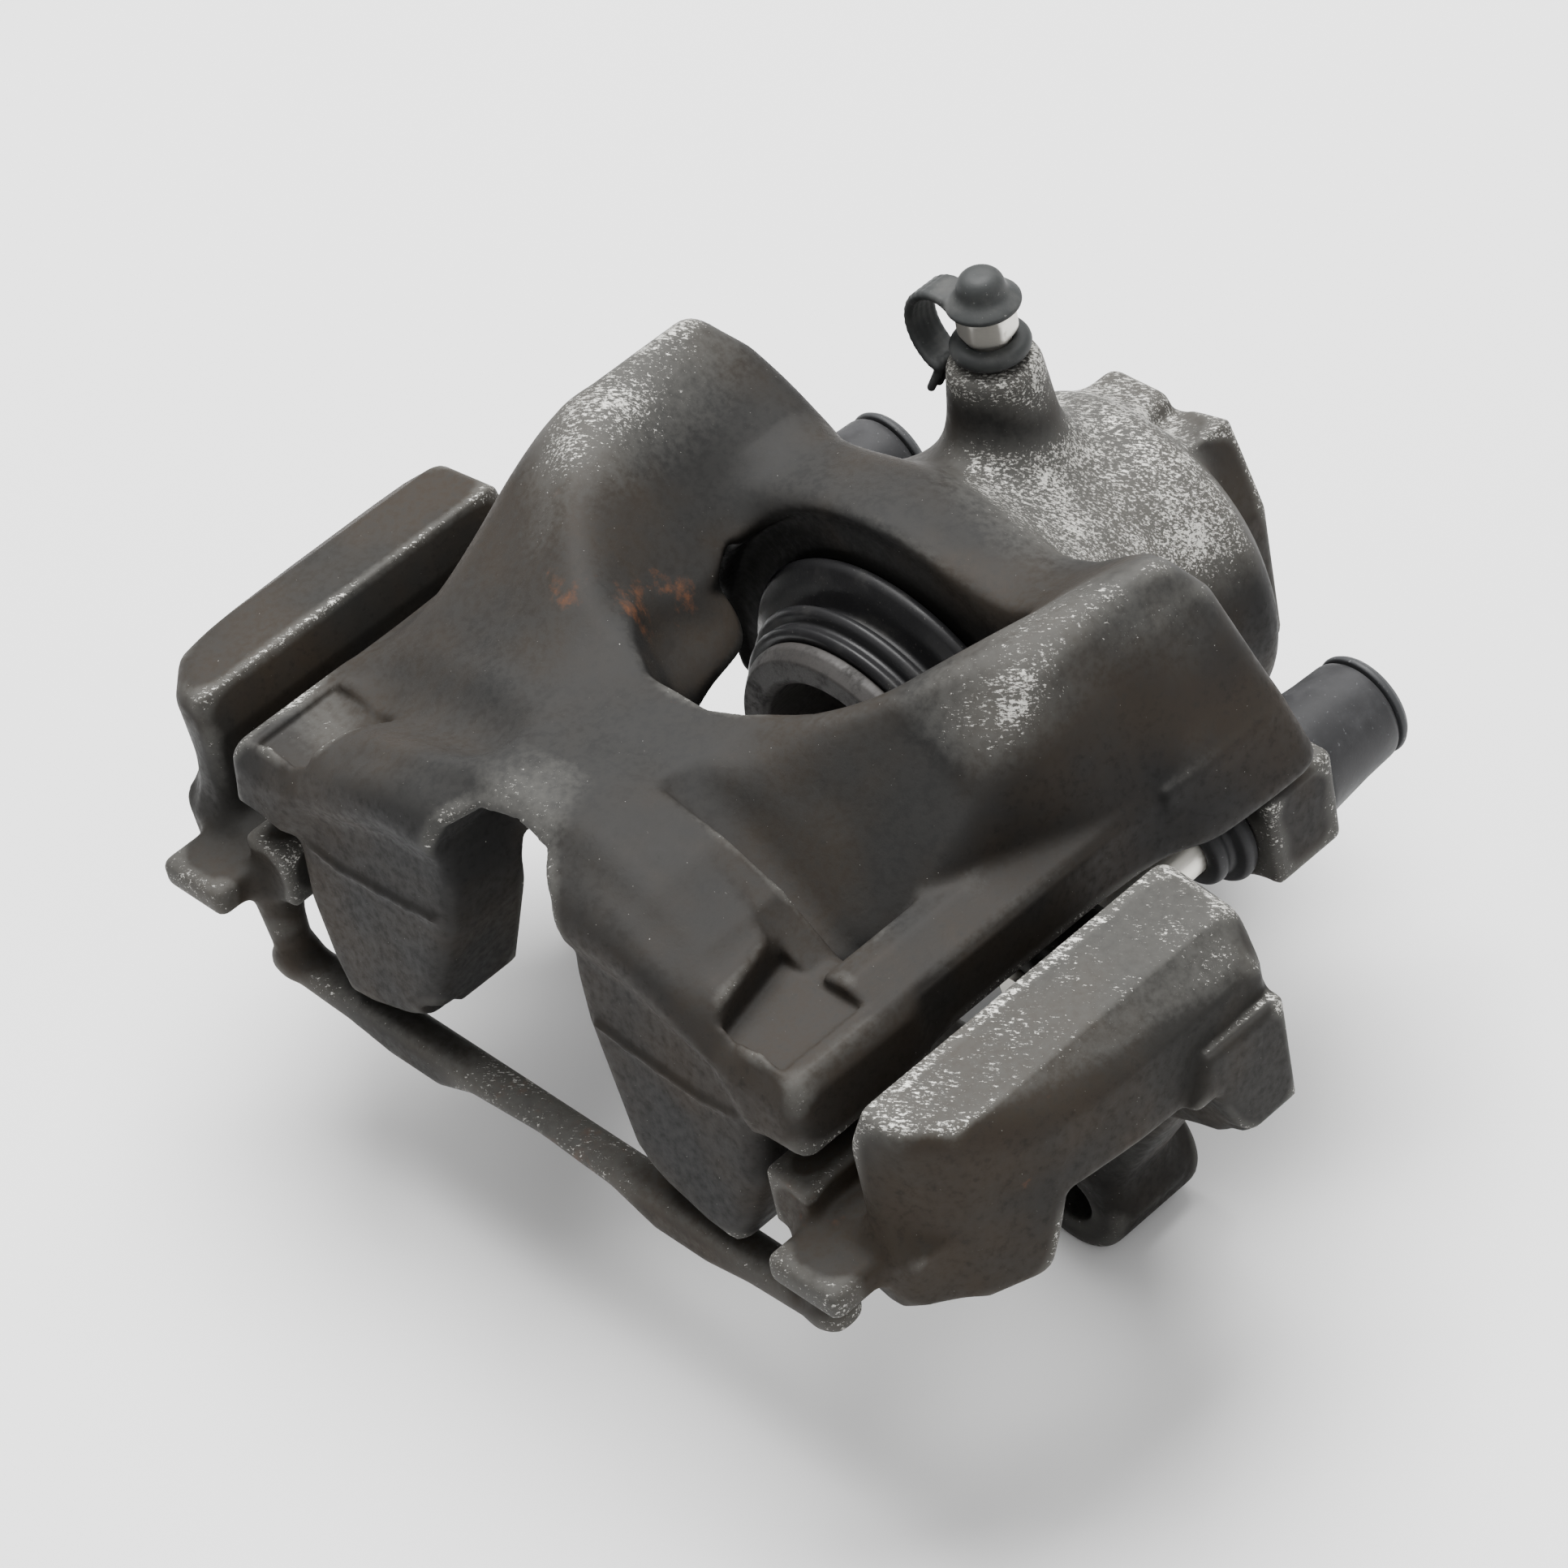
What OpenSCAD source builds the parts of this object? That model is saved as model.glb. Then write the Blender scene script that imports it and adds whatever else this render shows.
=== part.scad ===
/* [Piston and bore] */
// Diameter of the piston
piston_d = 54; // [52:1:56]
// Length of the piston cup
piston_len = 50; // [48:1:52]
// Wall thickness of the piston cup
piston_wall = 7; // [5:0.5:8]
// Running clearance between the piston and its bore, on the radius
bore_gap = 0.05; // [0.03:0.01:0.1]
// How far the piston nose stands out of the bore at rest
piston_out = 18.5; // [17:0.5:20]

/* [Caliper housing] */
// Outer diameter of the cylinder
cylinder_d = 66; // [65:1:70]
// Length of the cylinder, mouth to back
cylinder_len = 64; // [62:1:68]
// Height of the bridge ridges above the piston axis
ridge_z = 58.5; // [57:0.5:59]
// Height of the middle of the bridge plate above the piston axis
plate_z = 45; // [44:0.5:47]
// Half width of the gap between the two fingers
finger_gap = 16; // [15:0.5:17]
// Thickness of the fingers along the piston axis
finger_t = 20; // [18:1:21]

/* [Carrier bracket] */
// Distance between the two knuckle bolt holes
bolt_span = 120; // [118:1:122]
// Diameter of the knuckle bolt holes
bolt_hole_d = 12; // [10:0.5:13]
// Height of the piston axis above the knuckle bolts
axis_z = 53; // [52:0.5:54]
// Half distance between the pad abutment faces
abutment_x = 60.5; // [60.5:0.5:61]
// Height of the outer tie bar
tie_h = 6; // [5:0.5:6]

/* [Guides] */
// Diameter of the guide pins
pin_d = 9; // [8:0.5:10]
// Half distance between the guide pins
pin_x = 59; // [58.5:0.5:59.5]
// Outer diameter of the rubber guide bush
bush_d = 16; // [15:0.5:17]
// Diameter of the guide bush sleeve at its inboard end
sleeve_d = 20.4; // [19:0.2:22]

/* [Bleeder and inlet] */
// Across-flats size of the bleeder hexagon
bleeder_hex = 10; // [9:0.5:11]
// Thread diameter of the bleeder screw
bleeder_d = 8; // [7:0.5:9]
// Thread diameter of the brake hose port
port_d = 10; // [9:0.5:11]

/* [Hidden] */
$fn = 64;
// Overlap of solids that are joined
lap = 0.5;
// Plane of the cylinder mouth, from the knuckle face
mouth_y = 13;
bore_r = piston_d / 2 + bore_gap;
cylinder_r = cylinder_d / 2;
back_y = mouth_y + cylinder_len;
bore_end = back_y - 9;
nose_y = mouth_y - piston_out;
piston_end = nose_y + piston_len;
finger_front = -83;
seal_y = mouth_y + 13;
seal_w = 4.5;
groove_y = mouth_y + 3.5;
groove_w = 4;
groove_depth = 3.5;
rail_x = 71;
arm_back = 27;
arm_front = -13;
pin_z = -2.6;
pin_tip = -24;
pin_head = 55;
pin_gap = 0.06;
thread_cut = 0.75;
carrier_back = -6;
arm_x = 107.5;
ear_front = 27.5;
ear_back = 44;
bush_end = 64;
cap_t = 2.5;
tie_y = -86;
tie_top = -19.5;
tie_x = 73;
leg_t = 22;
bleeder_x = -6;
bleeder_y = 49.5;
boss_top = 57;
port_x = 4;
port_z = 8;
port_end = back_y + 10;

// A round bar along Y from y0 to y1
module bar_y(r, y0, y1) {
    translate([0, y0, 0]) rotate([-90, 0, 0]) cylinder(r = r, h = y1 - y0);
}

// An outline of radius and depth, turned about the Y axis
module turned_y(points) {
    rotate([-90, 0, 0]) rotate_extrude() polygon(points);
}

// A block between two opposite corners
module block(a, b) {
    translate(a) cube(b - a);
}

// An outline in X and Z, drawn out along Y from y0 to y1
module slab_y(points, y0, y1) {
    translate([0, y1, 0]) rotate([90, 0, 0]) linear_extrude(y1 - y0) polygon(points);
}

// An outline in Y and Z, drawn out along X from x0 to x1
module slab_x(points, x0, x1) {
    translate([x0, 0, 0]) rotate([90, 0, 90]) linear_extrude(x1 - x0) polygon(points);
}

// An outline in X and Y, drawn out along Z from z0 to z1
module slab_z(points, z0, z1) {
    translate([0, 0, z0]) linear_extrude(z1 - z0) polygon(points);
}

// The same shape on both sides of the middle plane
module both() {
    children();
    mirror([1, 0, 0]) children();
}

// Moves the origin up to the piston axis
module on_axis() {
    translate([0, 0, axis_z]) children();
}

// Moves the origin to a guide pin's axis
module on_pin(side = 1) {
    translate([side * pin_x, 0, axis_z + pin_z]) children();
}

// Moves the origin to the bleeder's axis, at the height of the piston axis
module on_bleeder() {
    translate([bleeder_x, bleeder_y, axis_z]) children();
}

// One side of the carrier: arm over the disc edge, abutments and mounting leg
module carrier_side() {
    section = [[83, 29.5], [98, 28], [arm_x, 21], [arm_x, -11], [84, -11], [80, 6], [80, 22]];
    plan = [[78, -80], [86, -81], [98, -72], [104, -58], [arm_x, -38], [arm_x, -12], [99, carrier_back],
        [78, carrier_back]];
    arch = [[-57, -13], [-54, 3], [-26, 3], [-20, -13]];
    on_axis() {
        difference() {
            intersection() {
                slab_y(section, -82, carrier_back);
                slab_z(plan, -20, 40);
            }
            slab_x(arch, 70, 120);
        }
        // Front root: pad abutment and spring hook
        slab_y([[abutment_x + 6, 0], [82, 2], [94, 2], [90, -11], [72, -11], [abutment_x + 6, -8]], -83, -61);
        block([abutment_x + 1, -84, -5], [72, -61, 8]);
        block([abutment_x, -62, -5], [72, -50, 8]);
        block([70, -94, -5], [86, -76, 1]);
        // Rear root: pad abutment, leg and the boss for the guide pin
        block([abutment_x, -20, -9], [84, carrier_back, 8]);
        slab_y([[abutment_x - 3, 0], [84, 6], [102, 6], [102, -12], [90, -17], [72, -46], [50, -46],
            [50, -24]], -leg_t, carrier_back);
    }
    translate([bolt_span / 2, 0, 0]) bar_y(12, -leg_t, 0);
    on_pin() bar_y(8.5, -leg_t, carrier_back);
}

module carrier_bracket() {
    low = tie_top - tie_h;
    tie = [[-1, tie_top], [tie_x, tie_top], [tie_x, low], [52, low - 1], [40, low - 3.5], [28, low - 3.5],
        [18, low + 1.5], [-1, low + 3]];
    color([0.24, 0.22, 0.2]) difference() {
        union() {
            both() carrier_side();
            on_axis() {
                // Outer tie bar, below the fingers, with its deeper stretches and two risers
                both() slab_y(tie, tie_y, tie_y + 8);
                both() block([tie_x - 7, tie_y, tie_top - tie_h], [tie_x, tie_y + 14, 0]);
                // Inner cross bar between the two legs
                block([-54, -20, -59], [54, carrier_back, -45]);
            }
        }
        both() translate([bolt_span / 2, 0, 0]) bar_y(bolt_hole_d / 2, -leg_t - 1, 1);
        both() on_pin() bar_y(pin_d / 2 - thread_cut, pin_tip, carrier_back + 1);
    }
}

// Guide pin: thread, shank and socket head inside the sleeve
module guide_pin() {
    color([0.75, 0.74, 0.7]) difference() {
        union() {
            bar_y(pin_d / 2 - thread_cut, pin_tip, carrier_back + lap);
            bar_y(pin_d / 2, carrier_back, pin_head);
        }
        translate([0, pin_head - 5, 0]) rotate([-90, 0, 0]) cylinder(r = 3.4, h = 6, $fn = 6);
    }
}
module guide_pin_left() { on_pin(-1) guide_pin(); }
module guide_pin_right() { on_pin(1) guide_pin(); }

// Rubber bush: lip, body in the ear and long inboard sleeve
module guide_bush() {
    r = pin_d / 2 + pin_gap;
    color([0.16, 0.16, 0.17]) turned_y([[r, 19], [7.2, 19], [10, 23], [10, ear_front],
        [bush_d / 2, ear_front], [bush_d / 2, ear_back], [11.4, ear_back], [11, 57],
        [sleeve_d / 2, bush_end], [7.5, bush_end], [7.5, 62], [r, 59]]);
}
module guide_bush_left() { on_pin(-1) guide_bush(); }
module guide_bush_right() { on_pin(1) guide_bush(); }

// Plug that closes the sleeve
module bush_cap() {
    color([0.2, 0.2, 0.21]) {
        bar_y(7.5, 62, bush_end + lap);
        bar_y(sleeve_d / 2, bush_end, bush_end + cap_t);
    }
}
module bush_cap_left() { on_pin(-1) bush_cap(); }
module bush_cap_right() { on_pin(1) bush_cap(); }

// One finger, one bridge arm and one ear
module housing_side() {
    finger = [[-1, plate_z - 1], [-1, 30], [finger_gap, 28], [finger_gap, 13], [26, -12], [33, -15],
        [50, -18.5], [58.5, 0], [59.8, 15], [72.5, 15], [72.5, 27], [56, 40]];
    arm = [[47, ridge_z], [54, ridge_z - 2], [rail_x, 30], [rail_x, 13], [62, 13], [53, 30], [32, 37]];
    slope = [[-1, plate_z], [14, plate_z], [33, 51], [48, 50], [rail_x, 28], [rail_x, 14], [62, 14],
        [52, 30], [-1, 30]];
    window = [[-1, -34], [16, -34], [24, -30], [38, -22], [43, arm_front], [-1, arm_front]];
    wall = [[32, 38], [47, ridge_z - 1], [54, ridge_z - 3], [67, 34], [rail_x, 28], [rail_x, 14],
        [50, 12], [46, -10], [0, -10], [0, 40]];
    slab_y(finger, finger_front, finger_front + finger_t);
    slab_y(arm, arm_front - lap, arm_back);
    difference() {
        slab_y(slope, finger_front + 4, arm_front);
        slab_z(window, 20, 70);
    }
    slab_y(wall, mouth_y + 2, arm_back + 4);
    // Ear around the guide bush
    block([24, ear_front, -12], [pin_x, ear_back, 9]);
    block([pin_x, ear_front, -11], [72, ear_back, 9]);
}

module caliper_housing() {
    color([0.26, 0.24, 0.22]) difference() {
        union() {
            on_axis() {
                both() housing_side();
                both() translate([pin_x, 0, pin_z]) bar_y(11.6, ear_front, ear_back);
                bar_y(cylinder_r, mouth_y, back_y - 3);
                bar_y(cylinder_r - 3, back_y - 4, back_y);
                bar_y(cylinder_r + 4, mouth_y, mouth_y + 10);
                // Brake hose port, behind the cylinder
                slab_y([[-12, -22], [18, -22], [18, 8], [12, 26], [-12, 22]], back_y - 10, port_end);
            }
            on_bleeder() cylinder(r1 = 12, r2 = 8, h = boss_top);
        }
        on_axis() {
            bar_y(bore_r, mouth_y - 1, bore_end);
            bar_y(bore_r + 3, seal_y, seal_y + seal_w);
            bar_y(bore_r + groove_depth, groove_y, groove_y + groove_w);
            bar_y(bore_r + 1.2, mouth_y - 1, groove_y + lap);
            translate([port_x, 0, port_z]) bar_y(port_d / 2, bore_end - 1, port_end + 1);
        }
        both() on_pin() bar_y(bush_d / 2, ear_front - 1, ear_back + 1);
        on_bleeder() {
            translate([0, 0, bore_r + 7]) cylinder(r = bleeder_d / 2 + 0.1, h = boss_top);
            cylinder(r = 1.6, h = boss_top);
        }
    }
}

// Hollow piston cup, open outboard, with a groove for the boot's lip
module piston() {
    r = piston_d / 2;
    color([0.33, 0.31, 0.28]) on_axis() turned_y([[0, piston_end], [r, piston_end], [r, nose_y + 9],
        [r - 2, nose_y + 9], [r - 2, nose_y + 4], [r, nose_y + 4], [r, nose_y + 1], [r - 1, nose_y],
        [r - piston_wall, nose_y], [r - piston_wall, piston_end - 9], [0, piston_end - 9]]);
}

// Square-section seal in its groove
module piston_seal() {
    color([0.1, 0.1, 0.1]) on_axis() turned_y([[bore_r - 0.02, seal_y + 0.2], [bore_r + 2.9, seal_y + 0.2],
        [bore_r + 2.9, seal_y + seal_w - 0.2], [bore_r - 0.02, seal_y + seal_w - 0.2]]);
}

// Bellows between the bore mouth and the piston nose
module piston_boot() {
    r = piston_d / 2;
    inner = 0.3;
    color([0.12, 0.12, 0.13]) on_axis() turned_y([[r - 1.7, nose_y + 4.3], [r + 1.6, nose_y + 4.3],
        [r + 4.4, nose_y + 6.5], [r + 4.4, nose_y + 8], [r + 2.5, nose_y + 9.5], [r + 9.7, mouth_y - 5],
        [r + 9.7, mouth_y - 3], [r + 3, mouth_y - 1], [r + 1, mouth_y - 0.5], [r + 1, groove_y + 3.7],
        [r + inner, groove_y + 3.7], [r + inner, nose_y + 8.7], [r - 1.7, nose_y + 8.7]]);
}

// Steel ring that holds the boot's outer bead in the bore mouth
module boot_ring() {
    color([0.5, 0.5, 0.5]) on_axis() turned_y([[bore_r + 1.3, groove_y + 0.2],
        [bore_r + groove_depth - 0.1, groove_y + 0.2],
        [bore_r + groove_depth - 0.1, groove_y + groove_w - 0.2], [bore_r + 1.3, groove_y + groove_w - 0.2]]);
}

// Bleeder screw: thread, hexagon and hose nipple
module bleeder_screw() {
    color([0.72, 0.7, 0.66]) on_bleeder() {
        translate([0, 0, bore_r + 8]) cylinder(r = bleeder_d / 2, h = boss_top - bore_r);
        translate([0, 0, boss_top + 5]) cylinder(r = bleeder_hex / sqrt(3), h = 6, $fn = 6);
        translate([0, 0, boss_top + 10]) cylinder(r = 3.2, h = 6);
    }
}

// Rubber dust cap over the nipple, with its strap and ring
module bleeder_cap() {
    color([0.17, 0.17, 0.18]) on_bleeder() {
        translate([0, 0, boss_top + 11.2]) difference() {
            union() {
                cylinder(r = 7.4, h = 2);
                cylinder(r = 4.8, h = 7);
            }
            translate([0, 0, -1]) cylinder(r = 3.4, h = 6.5);
        }
        translate([0, 0, boss_top + 0.2]) difference() {
            cylinder(r = 7.4, h = 4.4);
            translate([0, 0, -1]) cylinder(r = bleeder_d / 2 + 0.3, h = 7);
        }
        translate([-14, -3, boss_top + 2]) cube([2, 6, 11]);
        translate([-14, -3, boss_top + 2]) cube([8, 6, 2]);
        translate([-14, -3, boss_top + 11.2]) cube([8, 6, 1.8]);
    }
}

carrier_bracket();
guide_pin_left();
guide_pin_right();
caliper_housing();
guide_bush_left();
guide_bush_right();
bush_cap_left();
bush_cap_right();
piston();
piston_seal();
piston_boot();
boot_ring();
bleeder_screw();
bleeder_cap();
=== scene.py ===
"""Brake caliper: detailed pieces, materials, floor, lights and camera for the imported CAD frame."""

import math

import bmesh
import bpy
import numpy as np
from mathutils import Matrix, Vector


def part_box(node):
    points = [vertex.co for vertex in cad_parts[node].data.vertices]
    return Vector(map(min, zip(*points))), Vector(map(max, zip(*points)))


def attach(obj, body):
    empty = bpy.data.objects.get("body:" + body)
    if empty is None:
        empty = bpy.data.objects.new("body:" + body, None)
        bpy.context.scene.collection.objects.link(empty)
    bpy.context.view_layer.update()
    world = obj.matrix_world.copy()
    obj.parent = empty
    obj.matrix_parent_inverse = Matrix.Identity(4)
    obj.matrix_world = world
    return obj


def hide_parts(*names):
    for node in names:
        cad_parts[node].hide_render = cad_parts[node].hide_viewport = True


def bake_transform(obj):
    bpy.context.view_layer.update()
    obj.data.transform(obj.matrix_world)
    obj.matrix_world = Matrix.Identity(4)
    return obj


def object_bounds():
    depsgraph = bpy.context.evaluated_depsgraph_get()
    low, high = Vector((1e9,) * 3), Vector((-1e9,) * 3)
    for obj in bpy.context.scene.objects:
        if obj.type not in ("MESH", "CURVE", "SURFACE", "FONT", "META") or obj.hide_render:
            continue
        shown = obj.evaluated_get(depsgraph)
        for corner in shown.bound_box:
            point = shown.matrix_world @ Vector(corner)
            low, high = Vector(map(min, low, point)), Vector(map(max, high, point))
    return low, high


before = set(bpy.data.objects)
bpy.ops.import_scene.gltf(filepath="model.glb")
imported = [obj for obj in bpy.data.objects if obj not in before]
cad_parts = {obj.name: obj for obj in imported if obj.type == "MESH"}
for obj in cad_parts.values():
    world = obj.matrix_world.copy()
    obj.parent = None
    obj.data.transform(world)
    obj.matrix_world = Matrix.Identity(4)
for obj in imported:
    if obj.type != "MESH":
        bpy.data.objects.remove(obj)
cad_low, cad_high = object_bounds()

MM = 0.001
# Grid of the castings, in millimetres
STEP = 0.75
# Grid of the small shapes
FINE_STEP = 0.3


def middle(node):
    """Centre of a CAD node's box, in millimetres."""
    low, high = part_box(node)
    return [500 * (low[i] + high[i]) for i in range(3)]


def limits(node):
    """Lowest and highest corner of a CAD node, in millimetres."""
    low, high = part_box(node)
    return [1000 * v for v in low], [1000 * v for v in high]


AXIS_Z = middle("piston")[2]
PISTON_R = (limits("piston")[1][0] - limits("piston")[0][0]) / 2
NOSE_Y = limits("piston")[0][1]
PISTON_END = limits("piston")[1][1]
PIN_X = middle("guide_pin_right")[0]
PIN_Z = middle("guide_pin_right")[2] - AXIS_Z
PIN_R = (limits("guide_pin_right")[1][2] - limits("guide_pin_right")[0][2]) / 2
BLEEDER_X, BLEEDER_Y = middle("bleeder_screw")[:2]
BLEEDER_TOP = limits("bleeder_screw")[1][2] - AXIS_Z
# Top of the bleeder boss
BOSS_TOP = BLEEDER_TOP - 16
# Mouth of the bore, and back of the cylinder, which ends 10 mm before the hose port slab
MOUTH_Y = 13
BACK_Y = limits("caliper_housing")[1][1] - 10
# Height of the knuckle bolts about the piston axis
LEG_Z = -AXIS_Z
# Plane of the right arm's front flank: a point on it and its normal
FLANK = ((34.1, -28.4, 52.4), (0.377, -0.637, 0.674))


# ---------------------------------------------------------------- signed distances
def smooth_min(a, b, k):
    """The nearer of two distances, with a fillet about k wide where they meet."""
    if k <= 0:
        return np.minimum(a, b)
    h = np.maximum(k - np.abs(a - b), 0) / k
    return np.minimum(a, b) - h * h * k * 0.25


def smooth_max(a, b, k):
    return -smooth_min(-a, -b, k)


def box(low, high, r=1.5):
    """A block between two corners, with edges of radius r."""
    low, high = np.array(low, float), np.array(high, float)
    mid, half = (low + high) / 2, (high - low) / 2 - r

    def distance(x, y, z):
        q = [np.abs(v - m) - h for v, m, h in zip((x, y, z), mid, half)]
        out = np.sqrt(sum(np.maximum(v, 0) ** 2 for v in q))
        return out + np.minimum(np.maximum(np.maximum(q[0], q[1]), q[2]), 0) - r
    return distance, low, high


def rod(centre, r, ends, along="y", r_end=None, edge=1.0):
    """A round bar, or a cone to r_end, along one axis. centre holds the other two coordinates."""
    lo, hi = ends
    r_end = r if r_end is None else r_end
    slope = (r_end - r) / (hi - lo)
    lean = math.sqrt(1 + slope * slope)
    far = max(r, r_end)
    order = {"x": (1, 2, 0), "y": (0, 2, 1), "z": (0, 1, 2)}[along]

    def distance(x, y, z):
        p = (x, y, z)
        a, b, t = (p[i] for i in order)
        radial = np.sqrt((a - centre[0]) ** 2 + (b - centre[1]) ** 2)
        side = (radial - r - slope * (t - lo)) / lean
        caps = np.maximum(lo - t, t - hi)
        return smooth_max(side, caps, 2 * edge)
    low, high = [0, 0, 0], [0, 0, 0]
    spans = ((centre[0] - far, centre[0] + far), (centre[1] - far, centre[1] + far), ends)
    for place, value in zip(order, spans):
        low[place], high[place] = value
    return distance, np.array(low, float), np.array(high, float)


def outline(points, u, v):
    """Signed distance to a closed outline in a plane."""
    points = np.array(points, float)
    best = np.full(np.broadcast(u, v).shape, 1e9)
    sign = np.ones(best.shape)
    for (ax, ay), (bx, by) in zip(points, np.roll(points, -1, axis=0)):
        ex, ey = bx - ax, by - ay
        wx, wy = u - ax, v - ay
        t = np.clip((wx * ex + wy * ey) / (ex * ex + ey * ey), 0, 1)
        best = np.minimum(best, (wx - ex * t) ** 2 + (wy - ey * t) ** 2)
        up, down = v >= ay, v < by
        left = ex * wy > ey * wx
        flip = (up & down & left) | (~up & ~down & ~left)
        sign = np.where(flip, -sign, sign)
    return sign * np.sqrt(best)


def prism(points, ends, along="y", edge=1.5, r=0):
    """An outline drawn out along an axis: x uses (y, z), y uses (x, z), z uses (x, y)."""
    order = {"x": (1, 2, 0), "y": (0, 2, 1), "z": (0, 1, 2)}[along]
    points = np.array(points, float)

    def distance(x, y, z):
        p = (x, y, z)
        a, b, t = (p[i] for i in order)
        flat = outline(points, a, b) - r
        caps = np.maximum(ends[0] - t, t - ends[1])
        return smooth_max(flat, caps, 2 * edge)
    low, high = [0, 0, 0], [0, 0, 0]
    spans = ((points[:, 0].min() - r, points[:, 0].max() + r),
             (points[:, 1].min() - r, points[:, 1].max() + r), ends)
    for place, value in zip(order, spans):
        low[place], high[place] = value
    return distance, np.array(low, float), np.array(high, float)


def half_space(point, normal):
    """Everything behind a plane."""
    n = np.array(normal, float) / np.linalg.norm(normal)
    return lambda x, y, z: n[0] * (x - point[0]) + n[1] * (y - point[1]) + n[2] * (z - point[2])


def sausage(a, b, ra, rb):
    """A bar with round ends from a to b, of radius ra to rb."""
    a, b = np.array(a, float), np.array(b, float)
    d = b - a
    size = float(d @ d)

    def distance(x, y, z):
        t = np.clip(((x - a[0]) * d[0] + (y - a[1]) * d[1] + (z - a[2]) * d[2]) / size, 0, 1)
        gap = np.sqrt((x - a[0] - d[0] * t) ** 2 + (y - a[1] - d[1] * t) ** 2 + (z - a[2] - d[2] * t) ** 2)
        return gap - ra - (rb - ra) * t
    r = max(ra, rb)
    return distance, np.minimum(a, b) - r, np.maximum(a, b) + r


def meet(parts, low, high, k=4.0):
    """What several distances have in common, with edges about k wide."""
    def distance(x, y, z):
        result = None
        for part in parts:
            d = (part[0] if isinstance(part, tuple) else part)(x, y, z)
            result = d if result is None else smooth_max(result, d, k)
        return result
    return distance, np.array(low, float), np.array(high, float)


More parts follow.
